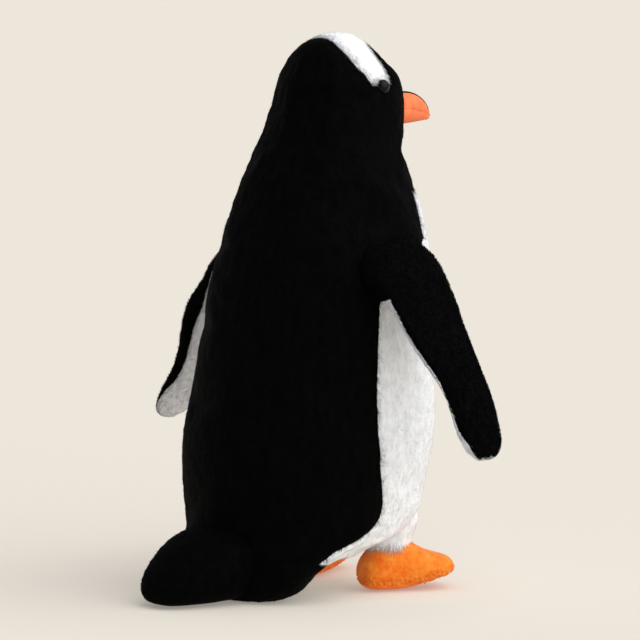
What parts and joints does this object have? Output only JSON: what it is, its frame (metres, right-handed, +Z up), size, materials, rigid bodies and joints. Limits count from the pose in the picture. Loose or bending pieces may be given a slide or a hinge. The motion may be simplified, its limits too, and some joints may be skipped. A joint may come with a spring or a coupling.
{
  "type": "plush penguin",
  "caption": "Standing plush penguin with black back, white belly, white crown band, orange beak and feet, and a turning head, lifting flippers, tail and flexing feet.",
  "frame": {"origin": "on the floor, under the middle of the toy's box", "axes": "+Z up, +Y towards the tail, the beak points to -Y, +X is the penguin's left"},
  "size_m": [0.3118, 0.219, 0.336],
  "materials": {
    "black_pile": "short dense black pile",
    "white_pile": "short fluffy white pile",
    "beak_plush": "smooth orange short-nap plush",
    "ridge_felt": "dark brown felt",
    "foot_plush": "orange curly-nap plush",
    "eye_gloss": "polished black",
    "washer_plastic": "natural moulded",
    "fibre_fill": "loose polyester fibre",
    "pellet_cloth": "woven cotton bag of pellets"
  },
  "bodies": {
    "torso": {"back_panel_left": "black_pile", "back_panel_right": "black_pile", "belly_panel": "white_pile", "seat_panel": "white_pile", "throat_panel": "black_pile", "ankle_cuff_left": "white_pile", "ankle_cuff_right": "white_pile", "pellet_bag": "pellet_cloth", "body_stuffing": "fibre_fill"},
    "head": {"crown_band": "white_pile", "face_panel": "black_pile", "head_panel_left": "black_pile", "head_panel_right": "black_pile", "head_stuffing": "fibre_fill", "beak_upper": "beak_plush", "beak_lower": "beak_plush", "beak_ridge": "ridge_felt", "beak_stuffing": "fibre_fill", "eye_left": "eye_gloss", "eye_right": "eye_gloss", "eye_washer_left": "washer_plastic", "eye_washer_right": "washer_plastic"},
    "flipper_left": {"flipper_left_outer": "black_pile", "flipper_left_inner": "white_pile", "flipper_left_stuffing": "fibre_fill"},
    "flipper_right": {"flipper_right_outer": "black_pile", "flipper_right_inner": "white_pile", "flipper_right_stuffing": "fibre_fill"},
    "tail": {"tail_upper": "black_pile", "tail_underside": "black_pile", "tail_stuffing": "fibre_fill"},
    "foot_left": {"foot_left_upper": "foot_plush", "foot_left_sole": "foot_plush", "foot_left_stuffing": "fibre_fill"},
    "foot_right": {"foot_right_upper": "foot_plush", "foot_right_sole": "foot_plush", "foot_right_stuffing": "fibre_fill"}
  },
  "joints": [
    {"name": "neck_turn", "type": "hinge", "parent": "torso", "child": "head", "pos_m": [0, -0.0295, 0.2623], "axis": [0, 0, 1], "range_deg": [-35, 35], "stiffness_Nm_per_rad": 0.3},
    {"name": "left_flipper_lift", "type": "hinge", "parent": "torso", "child": "flipper_left", "pos_m": [0.0665, -0.0265, 0.204], "axis": [0, -1, 0], "range_deg": [-8, 60], "stiffness_Nm_per_rad": 0.3},
    {"name": "right_flipper_lift", "type": "hinge", "parent": "torso", "child": "flipper_right", "pos_m": [-0.0665, -0.0265, 0.204], "axis": [0, 1, 0], "range_deg": [-8, 60], "stiffness_Nm_per_rad": 0.3},
    {"name": "tail_lift", "type": "hinge", "parent": "torso", "child": "tail", "pos_m": [0, 0.0631, 0.036], "axis": [1, 0, 0], "range_deg": [0, 35], "stiffness_Nm_per_rad": 0.3},
    {"name": "left_ankle_flex", "type": "hinge", "parent": "torso", "child": "foot_left", "pos_m": [0.035, -0.0425, 0.025], "axis": [-0.9397, -0.342, 0], "range_deg": [-12, 12], "stiffness_Nm_per_rad": 2},
    {"name": "right_ankle_flex", "type": "hinge", "parent": "torso", "child": "foot_right", "pos_m": [-0.035, -0.0425, 0.025], "axis": [-0.9397, 0.342, 0], "range_deg": [-12, 12], "stiffness_Nm_per_rad": 2}
  ]
}
